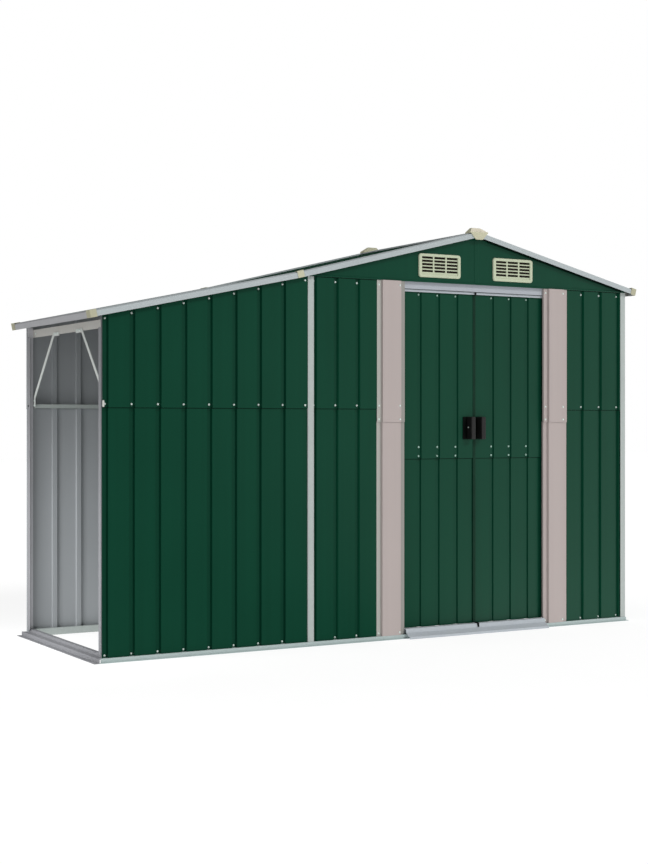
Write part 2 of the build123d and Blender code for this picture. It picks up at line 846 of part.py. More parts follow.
# End caps of the ridge
shoulder_z = ridge_height - shield_shoulder_drop
shield = [
    (x_ridge - shield_foot_half, ridge_height - shield_foot_drop),
    (x_ridge + shield_foot_half, ridge_height - shield_foot_drop),
    (x_ridge + shield_half_width, shoulder_z),
    (x_ridge + shield_top_half, ridge_height + shield_rise),
    (x_ridge - shield_top_half, ridge_height + shield_rise),
    (x_ridge - shield_half_width, shoulder_z),
]
hood_edge = ridge_height - main_slope * shield_half_width
hood = shield[2:] + [
    (x_ridge - shield_half_width, hood_edge),
    (x_ridge, ridge_height),
    (x_ridge + shield_half_width, hood_edge),
]


def ridge_cap(face, outward):
    """Shield on the gable end and hood over the ridge, the front leaning back above the shoulders."""
    front = across(shield, *sorted((face, face + outward * shield_t)))
    cap = front + across(hood, *sorted((face, face - outward * hood_depth)))
    tip = face + outward * shield_t
    top = ridge_height + shield_rise
    rise = top - shoulder_z
    slant = [
        (tip, shoulder_z),
        (tip - 2 * outward * hood_slant, shoulder_z + 2 * rise),
        (tip + outward * hood_slant, shoulder_z + 2 * rise),
        (tip + outward * hood_slant, shoulder_z),
    ]
    x0 = x_ridge - 2 * shield_half_width
    wedge = make_face(Polyline(*[(x0, y, z) for y, z in slant], close=True))
    return cap - extrude(wedge, amount=4 * shield_half_width, dir=(1, 0, 0))


keep("ridge_end_caps", ridge_cap(y_fascia, -1), ridge_cap(y_fascia_back, 1))

# Clips over the joint of main and lean-to fascia
clip_half = clip_length / 2
clip_rise = clip_half * (main_slope - lean_to_slope)


def joint_clip(mirror):
    front = block(-cap_t, 0, -cap_t, fascia_height, -clip_half, clip_half)
    top = block(-cap_t, flange_width, -cap_t, 0, -clip_half, clip_half)
    clip = front + top
    if mirror:
        clip = Pos(roof_depth, 0, 0) * clip.mirror(Plane.YZ)
    return slope_left(main_length) * Pos(0, -clip_rise, 0) * clip


keep("joint_clips", joint_clip(False), joint_clip(True))

for name, pieces in nodes.items():
    shape = pieces[0] if len(pieces) == 1 else Compound(children=[Part(p.wrapped) for p in pieces])
    export_step(shape, "parts/" + name + ".step")
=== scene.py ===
import bpy
import bmesh
import json
import math
from mathutils import Matrix, Vector


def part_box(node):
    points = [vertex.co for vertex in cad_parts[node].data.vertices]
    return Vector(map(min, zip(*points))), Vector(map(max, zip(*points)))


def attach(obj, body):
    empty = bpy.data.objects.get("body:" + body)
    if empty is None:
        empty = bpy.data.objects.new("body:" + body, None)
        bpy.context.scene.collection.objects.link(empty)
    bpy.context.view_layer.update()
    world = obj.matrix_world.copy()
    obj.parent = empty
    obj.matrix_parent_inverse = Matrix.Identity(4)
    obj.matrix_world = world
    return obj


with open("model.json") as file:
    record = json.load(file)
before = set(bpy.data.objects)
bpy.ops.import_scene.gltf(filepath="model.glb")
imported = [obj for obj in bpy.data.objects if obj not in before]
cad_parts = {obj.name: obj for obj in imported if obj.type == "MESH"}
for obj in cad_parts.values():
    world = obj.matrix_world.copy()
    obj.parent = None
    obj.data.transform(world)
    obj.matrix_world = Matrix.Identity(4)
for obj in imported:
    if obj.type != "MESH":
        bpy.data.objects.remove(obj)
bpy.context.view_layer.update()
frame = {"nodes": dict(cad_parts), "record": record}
nodes = frame["nodes"]

# Places read from the frame, in metres
X, Y, Z = range(3)
LOW, HIGH = range(2)
MM = 0.001
UPPER_STEP = 4 * MM
GROOVE_DEPTH = 10 * MM
wall_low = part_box("lean_to_front_wall")[LOW]
x_lean = wall_low[X]
y_front = wall_low[Y] + UPPER_STEP
y_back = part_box("lean_to_back_wall")[HIGH][Y] - UPPER_STEP
x_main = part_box("front_corner_post")[LOW][X]
x_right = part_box("front_right_post")[HIGH][X]
x_ridge = (x_main + x_right) / 2
jamb_left = [corner[X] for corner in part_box("left_jamb")]
jamb_right = [corner[X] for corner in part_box("right_jamb")]

# Camera: level, to the left of the front, fitted to the photograph
IMAGE_HEIGHT_PX = 864
FOCAL_PX = 1540.5
HORIZON_RISE_PX = 8.85
CAMERA_OFFSET = (-2.2143, -5.6231)
CAMERA_HEIGHT = 0.932
CAMERA_TURN = math.radians(-29.698)
SENSOR_MM = 36.0


def make_camera():
    data = bpy.data.cameras.new("camera")
    data.sensor_fit = "VERTICAL"
    data.sensor_height = SENSOR_MM
    data.lens = FOCAL_PX * SENSOR_MM / IMAGE_HEIGHT_PX
    data.shift_y = -HORIZON_RISE_PX / IMAGE_HEIGHT_PX
    camera = bpy.data.objects.new("camera", data)
    camera.location = (x_lean + CAMERA_OFFSET[X], y_front + CAMERA_OFFSET[Y], CAMERA_HEIGHT)
    camera.rotation_euler = (math.pi / 2, 0, CAMERA_TURN)
    bpy.context.scene.collection.objects.link(camera)
    bpy.context.scene.camera = camera


def srgb(red, green, blue):
    """Linear colour of an sRGB value given in 0 to 255."""
    values = []
    for part in (red, green, blue):
        share = part / 255
        values.append(share / 12.92 if share <= 0.04045 else ((share + 0.055) / 1.055) ** 2.4)
    return tuple(values)


def shade(colour, factor):
    return tuple(min(part * factor, 1) for part in colour) + (1,)


class Look:
    """A Principled material with mottled colour, uneven roughness and a fine bump."""

    def __init__(self, name, colour, roughness, specular):
        self.material = bpy.data.materials.new(name)
        self.material.use_nodes = True
        self.tree = self.material.node_tree
        self.shader = self.tree.nodes["Principled BSDF"]
        self.colour = colour
        self.roughness = roughness
        self.shader.inputs["Specular IOR Level"].default_value = specular
        self.place = self.tree.nodes.new("ShaderNodeTexCoord").outputs["Object"]

    def noise(self, scale, stretch=(1, 1, 1), detail=3.0):
        mapping = self.tree.nodes.new("ShaderNodeMapping")
        mapping.inputs["Scale"].default_value = stretch
        self.tree.links.new(self.place, mapping.inputs["Vector"])
        noise = self.tree.nodes.new("ShaderNodeTexNoise")
        noise.inputs["Scale"].default_value = scale
        noise.inputs["Detail"].default_value = detail
        self.tree.links.new(mapping.outputs["Vector"], noise.inputs["Vector"])
        return noise.outputs["Fac"]

    def cells(self, scale):
        cells = self.tree.nodes.new("ShaderNodeTexVoronoi")
        cells.inputs["Scale"].default_value = scale
        self.tree.links.new(self.place, cells.inputs["Vector"])
        apart = self.tree.nodes.new("ShaderNodeSeparateColor")
        self.tree.links.new(cells.outputs["Color"], apart.inputs["Color"])
        return apart.outputs["Red"]

    def ramp(self, value, low, high, dark, light):
        ramp = self.tree.nodes.new("ShaderNodeValToRGB")
        ramp.color_ramp.elements[0].position = low
        ramp.color_ramp.elements[0].color = dark
        ramp.color_ramp.elements[1].position = high
        ramp.color_ramp.elements[1].color = light
        self.tree.links.new(value, ramp.inputs["Fac"])
        return ramp.outputs["Color"]

    def mix(self, first, second, factor=0.5):
        mix = self.tree.nodes.new("ShaderNodeMix")
        mix.data_type = "RGBA"
        mix.inputs["Factor"].default_value = factor
        self.tree.links.new(first, mix.inputs["A"])
        self.tree.links.new(second, mix.inputs["B"])
        return mix.outputs["Result"]

    def paint(self, value, spread, low=0.3, high=0.7):
        dark = shade(self.colour, 1 - spread)
        light = shade(self.colour, 1 + spread)
        return self.ramp(value, low, high, dark, light)

    def finish(self, colour, grain, bump, distance=0.0004, rough_spread=0.06):
        self.tree.links.new(colour, self.shader.inputs["Base Color"])
        span = self.tree.nodes.new("ShaderNodeMapRange")
        span.inputs["To Min"].default_value = self.roughness - rough_spread
        span.inputs["To Max"].default_value = self.roughness + rough_spread
        self.tree.links.new(grain, span.inputs["Value"])
        self.tree.links.new(span.outputs["Result"], self.shader.inputs["Roughness"])
        relief = self.tree.nodes.new("ShaderNodeBump")
        relief.inputs["Strength"].default_value = bump
        relief.inputs["Distance"].default_value = distance
        self.tree.links.new(grain, relief.inputs["Height"])
        self.tree.links.new(relief.outputs["Normal"], self.shader.inputs["Normal"])
        return self.material


def sheet_look(name, colour, roughness, specular, spread):
    """Coated sheet: soft clouds and faint upright streaks, a fine orange-peel skin."""
    look = Look(name, colour, roughness, specular)
    clouds = look.paint(look.noise(2.2), spread)
    streaks = look.paint(look.noise(30, (1, 1, 0.02)), spread)
    return look.finish(look.mix(clouds, streaks), look.noise(420), 0.12)


def zinc_look(name, colour, roughness, specular, spread):
    """Zinc-coated steel: small spangle cells over soft clouds, a fine drawn grain."""
    look = Look(name, colour, roughness, specular)
    spangle = look.paint(look.cells(130), spread, 0.0, 1.0)
    clouds = look.paint(look.noise(5), spread)
    return look.finish(look.mix(spangle, clouds), look.noise(300, (1, 1, 0.15)), 0.1)


def plastic_look(name, colour, roughness, specular, spread):
    """Moulded plastic: faint clouds and a sanded skin."""
    look = Look(name, colour, roughness, specular)
    clouds = look.paint(look.noise(9), spread)
    specks = look.paint(look.noise(160), spread)
    return look.finish(look.mix(clouds, specks), look.noise(900), 0.15)


def screen_look(name, colour, roughness):
    """Insect screen: a fine weave of crossing wires over a dark ground."""
    look = Look(name, colour, roughness, 0.1)
    across = look.paint(look.noise(700, (1, 1, 0.05)), 0.3)
    upright = look.paint(look.noise(700, (0.05, 1, 1)), 0.3)
    return look.finish(look.mix(across, upright), look.noise(900), 0.3)


looks = {
    "green_sheet": sheet_look("green_sheet", srgb(11, 64, 46), 0.3, 0.1, 0.08),
    "roof_sheet": sheet_look("roof_sheet", srgb(13, 64, 46), 0.65, 0.05, 0.08),
    # Lighter green for the groove flanks: painted light
    "groove_painted_light": sheet_look("groove_painted_light", srgb(18, 80, 58), 0.4, 0.08, 0.08),
    # Near-black green for strips that stand in for shadow lines: painted shade
    "lap_seal": plastic_look("lap_seal", srgb(5, 28, 19), 0.7, 0.05, 0.1),
    "sheet_inside": sheet_look("sheet_inside", srgb(160, 164, 167), 0.6, 0.12, 0.05),
    "roof_inside": sheet_look("roof_inside", srgb(112, 111, 108), 0.6, 0.1, 0.06),
    "zinc_frame": zinc_look("zinc_frame", srgb(178, 186, 183), 0.5, 0.2, 0.05),
    "dull_zinc": zinc_look("dull_zinc", srgb(148, 149, 153), 0.55, 0.15, 0.06),
    "pale_zinc": zinc_look("pale_zinc", srgb(205, 204, 199), 0.5, 0.2, 0.04),
    # Lighter zinc for the shaded leg of the back post: painted light
    "post_painted_light": zinc_look("post_painted_light", srgb(206, 206, 210), 0.5, 0.2, 0.05),
    "brace_zinc": zinc_look("brace_zinc", srgb(215, 220, 216), 0.5, 0.2, 0.04),
    "silver_trim": zinc_look("silver_trim", srgb(180, 188, 190), 0.5, 0.2, 0.04),
    "sill_silver": zinc_look("sill_silver", srgb(184, 191, 197), 0.45, 0.25, 0.05),
    "jamb_paint": sheet_look("jamb_paint", srgb(182, 171, 168), 0.5, 0.15, 0.03),
    # Darker jamb paint for the door-side flange of the left jamb: painted shade
    "jamb_painted_shade": sheet_look("jamb_painted_shade", srgb(153, 152, 147), 0.5, 0.15, 0.04),
    "cream_plastic": plastic_look("cream_plastic", srgb(200, 198, 171), 0.5, 0.2, 0.04),
    # Darker copy of the cream plastic for the corner caps: painted shade
    "cap_painted_shade": plastic_look("cap_painted_shade", srgb(182, 180, 155), 0.5, 0.2, 0.04),
    # Paler cream for the leaning faces of the ridge caps: painted light
    "cap_painted_light": plastic_look("cap_painted_light", srgb(236, 229, 207), 0.5, 0.2, 0.04),
    "vent_cream": plastic_look("vent_cream", srgb(196, 204, 177), 0.5, 0.2, 0.04),
    "black_plastic": plastic_look("black_plastic", srgb(30, 30, 30), 0.5, 0.2, 0.15),
    "black_rubber": plastic_look("black_rubber", srgb(9, 14, 12), 0.7, 0.1, 0.2),
    "seal_rubber": plastic_look("seal_rubber", srgb(18, 50, 37), 0.7, 0.1, 0.2),
    "header_silver": zinc_look("header_silver", srgb(177, 182, 189), 0.45, 0.25, 0.04),
    "dark_screen": screen_look("dark_screen", srgb(34, 29, 22), 0.8),
    # Darker copy of the silver trim for the eave trims: painted shade
    "eave_painted_shade": zinc_look("eave_painted_shade", srgb(179, 180, 183), 0.5, 0.2, 0.04),
    "rail_zinc": zinc_look("rail_zinc", srgb(180, 194, 193), 0.5, 0.2, 0.05),
    "jamb_side": sheet_look("jamb_side", srgb(177, 177, 171), 0.5, 0.15, 0.04),
    "door_screw": zinc_look("door_screw", srgb(172, 205, 192), 0.4, 0.2, 0.04),
    "screw_zinc": zinc_look("screw_zinc", srgb(222, 235, 229), 0.4, 0.3, 0.04),
}
for entry in frame["record"]["subparts"]:
    mesh = nodes[entry["node"]].data
    mesh.materials.clear()
    mesh.materials.append(looks[entry["material_slot"]])

OWN_LOOKS = {
    # Eave trims wear a darker grey as painted shade
    "eave_trims": "eave_painted_shade",
    "left_base_rail": "dull_zinc",
    "front_base_rail": "rail_zinc",
    "lean_to_front_post": "dull_zinc",
    "lean_to_back_post": "dull_zinc",
    "lean_to_beam": "pale_zinc",
    "knee_braces": "brace_zinc",
    # Corner caps wear a darker cream as painted shade
    "corner_caps": "cap_painted_shade",
    "header_track": "header_silver",
    "front_vents": "vent_cream",
    "back_vents": "vent_cream",
    "door_sill": "sill_silver",
    "roof_right": "roof_sheet",
    "roof_left": "roof_sheet",
    "lean_to_roof": "roof_sheet",
}
for name, look in OWN_LOOKS.items():
    nodes[name].data.materials[0] = looks[look]

# Inner sides of the coated sheets are grey
OUTWARD = {
    "lean_to_front_wall": (0, -1, 0),
    "lean_to_back_wall": (0, 1, 0),
    "front_left_wall": (0, -1, 0),
    "front_right_wall": (0, -1, 0),
    "left_wall": (-1, 0, 0),
    "right_wall": (1, 0, 0),
    "back_wall": (0, 1, 0),
    "front_gable": (0, -1, 0),
    "back_gable": (0, 1, 0),
    "left_door_panels": (0, -1, 0),
    "right_door_panels": (0, -1, 0),
    "roof_right": (0.2385, 0, 0.9711),
    "roof_left": (-0.2385, 0, 0.9711),
    "lean_to_roof": (-0.2075, 0, 0.9782),
}
FACING = 0.1
for name, outward in OUTWARD.items():
    piece = nodes[name]
    inside = "roof_inside" if "roof" in name else "sheet_inside"
    piece.data.materials.append(looks[inside])
    turn = piece.matrix_world.to_3x3()
    for polygon in piece.data.polygons:
        if (turn @ polygon.normal).dot(Vector(outward)) < -FACING:
            polygon.material_index = 1


def repaint(name, look, chosen):
    """Give another look to the faces of a node that a test picks."""
    mesh = nodes[name].data
    mesh.materials.append(looks[look])
    for polygon in mesh.polygons:
        if chosen(polygon):
            polygon.material_index = len(mesh.materials) - 1


# The left jamb's flanges are greyer than its face, the door-side one also painted darker as
# painted shade, and the header's lip is paler than its band
JAMB_FLANGE = 22 * MM
HEADER_LIP = 10.5 * MM
header_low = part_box("header_track")[LOW]
repaint("left_jamb", "jamb_painted_shade", lambda polygon: polygon.center.x > jamb_left[HIGH] - JAMB_FLANGE)
repaint("left_jamb", "jamb_side", lambda polygon: polygon.center.x < jamb_left[LOW] + JAMB_FLANGE)
repaint(
    "header_track", "sill_silver",
    lambda polygon: polygon.center.z < header_low[Z] + HEADER_LIP,
)

# Handle plates are duller than the grips and painted darker, as painted shade from the grips
PLATE_REACH = 8 * MM
plate_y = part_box("left_door_handle")[HIGH][Y] - PLATE_REACH
for name in ("left_door_handle", "right_door_handle"):
    repaint(name, "black_rubber", lambda polygon: polygon.center.y > plate_y)

# Painted light: groove flanks beside the door and the shaded leg of the back post are painted
# lighter, standing in for light they catch
FLANK = 0.3
for name in ("front_left_wall", "front_right_wall"):
    repaint(name, "groove_painted_light", lambda polygon: polygon.normal.x < -FLANK)
repaint("lean_to_back_post", "post_painted_light", lambda polygon: polygon.normal.y < -FLANK)

# Painted light: leaning faces of the ridge caps are painted paler than the rest
CAP_UP = 0.5
CAP_OUT = 0.3
repaint(
    "ridge_end_caps", "cap_painted_light",
    lambda polygon: polygon.normal.z > CAP_UP and abs(polygon.normal.y) > CAP_OUT,
)

# Soft edges on the moulded pieces
SOFT = {"corner_caps": 0.8, "joint_clips": 0.8}
for name, width in SOFT.items():
    bevel = nodes[name].modifiers.new("soft_edge", "BEVEL")
    bevel.width = width * MM
    bevel.segments = 2
    bevel.limit_method = "ANGLE"


def place_mesh(name, mesh, look, body):
    """A new piece of the object, riding on one of its bodies."""
    piece = bpy.data.objects.new(name, mesh)
    bpy.context.scene.collection.objects.link(piece)
    mesh.materials.append(looks[look])
    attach(piece, body)


def drawn_out(outline, axis, start, end):
    """Mesh of an outline in two axes, in their order, drawn out along the third."""
    others = [index for index in (X, Y, Z) if index != axis]
    work = bmesh.new()
    rings = []
    for reach in (start, end):
        ring = []
        for first, second in outline:
            point = [0, 0, 0]
            point[axis] = reach
            point[others[0]] = first
            point[others[1]] = second
            ring.append(work.verts.new(point))
        rings.append(ring)
    count = len(outline)
    work.faces.new(rings[0])
    work.faces.new(rings[1][::-1])
    for index in range(count):
        after = (index + 1) % count
        work.faces.new((rings[0][index], rings[1][index], rings[1][after], rings[0][after]))
    bmesh.ops.recalc_face_normals(work, faces=work.faces[:])
    mesh = bpy.data.meshes.new("drawn_out")
    work.to_mesh(mesh)
    work.free()
    return mesh


def clipped(low, high, cut):
    """Rectangle between two corners with its corners cut off."""
    (x0, y0), (x1, y1) = low, high
    return [
        (x0 + cut, y0), (x1 - cut, y0), (x1, y0 + cut), (x1, y1 - cut),
        (x1 - cut, y1), (x0 + cut, y1), (x0, y1 - cut), (x0, y0 + cut),
    ]


# Gables: a folded hem along the foot and a flat strip over the middle joint
HEM_INSET = 34 * MM
HEM = ((0, 0), (1.6, 0), (2.6, 1.5), (2.6, 6), (1, 8), (0, 8))
JOINT_HALF = 12 * MM
JOINT_RISE = 1.2 * MM
JOINT_TOP = 1742 * MM
for name, outward, side in (("front_gable", -1, LOW), ("back_gable", 1, HIGH)):
    low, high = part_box(name)
    face = (low, high)[side][Y]
    outline = [(face + outward * reach * MM, low[Z] + height * MM) for reach, height in HEM]
    hem = drawn_out(outline, X, low[X] + HEM_INSET, high[X] - HEM_INSET)
    place_mesh(name + "_hem", hem, "green_sheet", "shed")
    lift = face + outward * JOINT_RISE
    outline = [
        (x_ridge - JOINT_HALF, face), (x_ridge - JOINT_HALF + MM, lift),
        (x_ridge + JOINT_HALF - MM, lift), (x_ridge + JOINT_HALF, face),
    ]
    strip = drawn_out(outline, Z, low[Z] + HEM[-1][1] * MM, JOINT_TOP)
    place_mesh(name + "_joint", strip, "green_sheet", "shed")

# Lap strip over the joint of the left roof slope and the lean-to roof, lying on the crests
LAP_REACH = 26 * MM
LAP_T = 1.2 * MM
LAP_LIFT = 0.3 * MM
MAIN_SLOPE = 0.2456
LEAN_TO_SLOPE = 0.2121
lap_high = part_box("lean_to_roof")[HIGH]
strip_low, strip_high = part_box("ridge_strip")
lap_x = lap_high[X]
lap_z = lap_high[Z] + LAP_LIFT
outline = [
    (lap_x - LAP_REACH, lap_z - LAP_REACH * LEAN_TO_SLOPE), (lap_x, lap_z),
    (lap_x + LAP_REACH, lap_z + LAP_REACH * MAIN_SLOPE),
    (lap_x + LAP_REACH - MM, lap_z + LAP_REACH * MAIN_SLOPE + LAP_T), (lap_x, lap_z + LAP_T),
    (lap_x - LAP_REACH + MM, lap_z - LAP_REACH * LEAN_TO_SLOPE + LAP_T),
]
lap = drawn_out(outline, Y, strip_low[Y], strip_high[Y])
place_mesh("roof_lap_strip", lap, "roof_sheet", "shed")

# Painted shade: a dark strip under the foot of each gable, on both sides of the doorway in front,
# stands in for the shadow line there
GABLE_SHADE = 3 * MM
GABLE_SHADE_RISE = 1.3 * MM
POST_COVER = 28 * MM
gable_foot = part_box("front_gable")[LOW][Z]
front_face = y_front - UPPER_STEP
back_face = y_back + UPPER_STEP
gable_shade_strips = (
    ("front_left_gable_seal", front_face, -1, x_main + POST_COVER, jamb_left[LOW]),
    ("front_right_gable_seal", front_face, -1, jamb_right[HIGH], x_right - POST_COVER),
    ("back_gable_seal", back_face, 1, x_main + POST_COVER, x_right - POST_COVER),
)
for name, face, outward, start, end in gable_shade_strips:
    lift = face + outward * GABLE_SHADE_RISE
    outline = [
        (face, gable_foot - GABLE_SHADE), (lift, gable_foot - GABLE_SHADE / 2),
        (lift, gable_foot), (face, gable_foot),
    ]
    place_mesh(name, drawn_out(outline, X, start, end), "lap_seal", "shed")

# Plug under the leaning front of each ridge cap, where the ridge runs out
PLUG_HALF = 13 * MM
PLUG = ((4, 1779), (4, 1782), (8, 1785), (10, 1785), (10, 1779))
cap_low, cap_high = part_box("ridge_end_caps")
for name, tip, inward in (("front", cap_low[Y], 1), ("back", cap_high[Y], -1)):
    outline = [(tip + inward * reach * MM, height * MM) for reach, height in PLUG]
    plug = drawn_out(outline, X, x_ridge - PLUG_HALF, x_ridge + PLUG_HALF)
    # The plugs take the paler cream of the ridge caps' painted light
    place_mesh(name + "_ridge_plug", plug, "cap_painted_light", "shed")

# Painted shade: a dark strip between the gable and the fascia, along the right slope, stands in
# for the shadow under the fascia
FASCIA_SHADE = 6 * MM
FASCIA_CLEAR = 60 * MM
for name, side, outward in (("front_fascia", LOW, -1), ("back_fascia", HIGH, 1)):
    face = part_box(name)[side][Y]
    corners = [corner.co for corner in nodes[name].data.vertices]
    start = x_ridge + FASCIA_CLEAR
    edge = [place for place in corners if abs(place.y - face) < MM / 2 and place.x > start]
    reach = max(place.x for place in edge)
    height = min(place.z for place in edge)
    end = x_right - POST_COVER
    start_z = height + (reach - start) * MAIN_SLOPE
    end_z = height + (reach - end) * MAIN_SLOPE
    outline = [
        (start, start_z - FASCIA_SHADE), (start, start_z + FASCIA_SHADE / 2),
        (end, end_z + FASCIA_SHADE / 2), (end, end_z - FASCIA_SHADE),
    ]
    gable_side = (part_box("front_gable")[LOW][Y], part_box("back_gable")[HIGH][Y])[side]
    dark_strip = drawn_out(outline, Y, gable_side, gable_side + outward * FASCIA_SHADE)
    place_mesh(name + "_seal", dark_strip, "lap_seal", "shed")

# Painted shade: a dark strip under the lower edge of each upper sheet on the front stands in for
# the shadow line of the lap
LAP_SHADE_STRIPS = {
    "lean_to_front_wall": "shed",
    "front_left_wall": "shed",
    "front_right_wall": "shed",
    "left_door_panels": "left_door",
    "right_door_panels": "right_door",
}
SHADE_STRIP_HEIGHT = 2.4 * MM
SHADE_STRIP_SETBACK = 1.4 * MM
for name, body in LAP_SHADE_STRIPS.items():
    low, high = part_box(name)
    corners = [corner.co for corner in nodes[name].data.vertices]
    seam = min(place.z for place in corners if place.y < low[Y] + MM / 2)
    outline = [
        (low[Y] + UPPER_STEP, seam - SHADE_STRIP_HEIGHT), (low[Y] + UPPER_STEP, seam),
        (low[Y] + SHADE_STRIP_SETBACK, seam), (low[Y] + 2 * SHADE_STRIP_SETBACK, seam - SHADE_STRIP_HEIGHT),
    ]
    dark_strip = drawn_out(outline, X, low[X] + MM, high[X] - MM)
    place_mesh(name + "_lap_seal", dark_strip, "lap_seal", body)

# Screens behind the vents
VENT_WIDTH = 220 * MM
SCREEN_MARGIN = 13 * MM
SCREEN_T = 2 * MM
SCREEN_PROUD = 0.8 * MM
SCREEN_CORNER = 8 * MM
for name, gable, side in (("front", "front_gable", HIGH), ("back", "back_gable", LOW)):
    low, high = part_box(name + "_vents")
    inward = 1 if side == HIGH else -1
    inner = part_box(gable)[side][Y] + inward * SCREEN_T
    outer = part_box(gable)[1 - side][Y] - inward * SCREEN_PROUD
    for index, x0 in enumerate((low[X], high[X] - VENT_WIDTH)):
        outline = clipped(
            (x0 + SCREEN_MARGIN, low[Z] + SCREEN_MARGIN),
            (x0 + VENT_WIDTH - SCREEN_MARGIN, high[Z] - SCREEN_MARGIN),
            SCREEN_CORNER,
        )
        screen = drawn_out(outline, Y, outer, inner)
        screen_name = "%s_screen_%d" % (name, index + 1)
        place_mesh(screen_name, screen, "dark_screen", "shed")

# Rubber seal between the doors: a stem in the gap and a lip over both edges, on the left door
SEAL_WIDTH = 8 * MM
SEAL_DEPTH = 17 * MM
SEAL_LIP = 1.6 * MM
SEAL_OVER = 3 * MM
LIP_GAP = 0.6 * MM
panel_low, panel_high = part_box("left_door_panels")
seal_x = panel_high[X]
lip_x0 = seal_x - SEAL_OVER
lip_x1 = seal_x + SEAL_WIDTH + MM + SEAL_OVER
seal_face = panel_low[Y]
outline = [
    (lip_x0, seal_face), (lip_x0 + MM, seal_face - SEAL_LIP),
    (lip_x1 - MM, seal_face - SEAL_LIP), (lip_x1, seal_face - LIP_GAP),
    (seal_x + SEAL_WIDTH, seal_face - LIP_GAP), (seal_x + SEAL_WIDTH, seal_face + SEAL_DEPTH),
    (seal_x, seal_face + SEAL_DEPTH), (seal_x, seal_face),
]
dark_strip = drawn_out(outline, Z, panel_low[Z] + MM, panel_high[Z])
place_mesh("door_seal", dark_strip, "seal_rubber", "left_door")

# Black stop on the sill under the seam of the doors, bent down over its front
STOP_HALF = 3.5 * MM
STOP_INSET = 25 * MM
STOP = ((-8, -15), (-6, 2), (0, 5), (20, 5), (20, 0), (0, 0), (-5, -15))
sill_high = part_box("door_sill")[HIGH]
stop_x = seal_x + SEAL_WIDTH / 2
stop_y = sill_high[Y] - STOP_INSET
stop_z = sill_high[Z]
outline = [(stop_y + reach * MM, stop_z + rise * MM) for reach, rise in STOP]
stop = drawn_out(outline, X, stop_x - STOP_HALF, stop_x + STOP_HALF)
place_mesh("door_stop", stop, "black_rubber", "shed")

# Painted shade: a dark bead along the header, at the foot of its upper band, stands in for the
# shadow line under the band
SHADE_LINE = 1.2 * MM
header_face_y = header_low[Y]
shade_line_z = header_low[Z] + HEADER_LIP
outline = [
    (header_face_y, shade_line_z - SHADE_LINE), (header_face_y - SHADE_LINE, shade_line_z - SHADE_LINE / 2),
    (header_face_y - SHADE_LINE, shade_line_z + SHADE_LINE / 2), (header_face_y, shade_line_z + SHADE_LINE),
]
shade_line = drawn_out(outline, X, jamb_left[HIGH] + MM, jamb_right[LOW] - MM)
place_mesh("header_shade_line", shade_line, "black_plastic", "shed")

# Black stop on the header's lip, over the seam of the doors
HEADER_STOP_HALF = 4 * MM
HEADER_STOP_T = 2 * MM
HEADER_STOP_DROP = 5 * MM
HEADER_STOP_RISE = 9 * MM
outline = clipped(
    (stop_x - HEADER_STOP_HALF, header_low[Z] - HEADER_STOP_DROP),
    (stop_x + HEADER_STOP_HALF, header_low[Z] + HEADER_STOP_RISE),
    MM,
)
header_stop = drawn_out(outline, Y, header_face_y - HEADER_STOP_T, header_face_y)
place_mesh("header_stop", header_stop, "black_rubber", "shed")

# Plate at the open end of the lean-to's front wall, over the mid rail
PLATE_T = 1.5 * MM
PLATE_WIDTH = 8 * MM
PLATE_FOOT = 995 * MM
PLATE_TOP = 1021 * MM
PLATE_CUT = 2 * MM
outline = clipped((x_lean, PLATE_FOOT), (x_lean + PLATE_WIDTH, PLATE_TOP), PLATE_CUT)
wall_face = y_front - UPPER_STEP
plate = drawn_out(outline, Y, wall_face - PLATE_T, wall_face)
place_mesh("rail_plate", plate, "pale_zinc", "shed")

# Screws: a domed head on a washer, turned round the axis of the screw
SCREW_PROFILE = (
    (4.5, 0.0), (4.5, 0.6), (4.1, 1.0), (3.3, 1.2),
    (3.2, 2.0), (2.6, 2.7), (1.4, 3.3), (0.0, 3.5),
)
SCREW_SIDES = 14
EYE_SIDES = 20
WIRE_SIDES = 8


def add_screw(work, place, normal):
    """One screw head in the mesh being built, standing on a face along its normal."""
    turn = Vector((0, 0, 1)).rotation_difference(Vector(normal)).to_matrix().to_4x4()
    matrix = Matrix.Translation(Vector(place)) @ turn
    rings = []
    for radius, height in SCREW_PROFILE:
        if radius == 0:
            rings.append([work.verts.new(matrix @ Vector((0, 0, height * MM)))])
            continue
        ring = []
        for side in range(SCREW_SIDES):
            angle = 2 * math.pi * side / SCREW_SIDES
            point = Vector((math.cos(angle) * radius, math.sin(angle) * radius, height)) * MM
            ring.append(work.verts.new(matrix @ point))
        rings.append(ring)
    work.faces.new(rings[0][::-1])
    for lower, upper in zip(rings, rings[1:]):
        for side in range(SCREW_SIDES):
            after = (side + 1) % SCREW_SIDES
            if len(upper) == 1:
                work.faces.new((lower[side], lower[after], upper[0]))
            else:
                work.faces.new((lower[side], lower[after], upper[after], upper[side]))


def screw_group(name, places, normal, body, look="screw_zinc"):
    work = bmesh.new()
    for place in places:
        add_screw(work, place, normal)
    mesh = bpy.data.meshes.new(name)
    work.to_mesh(mesh)
    work.free()
    for polygon in mesh.polygons:
        polygon.use_smooth = True
    place_mesh(name, mesh, look, body)


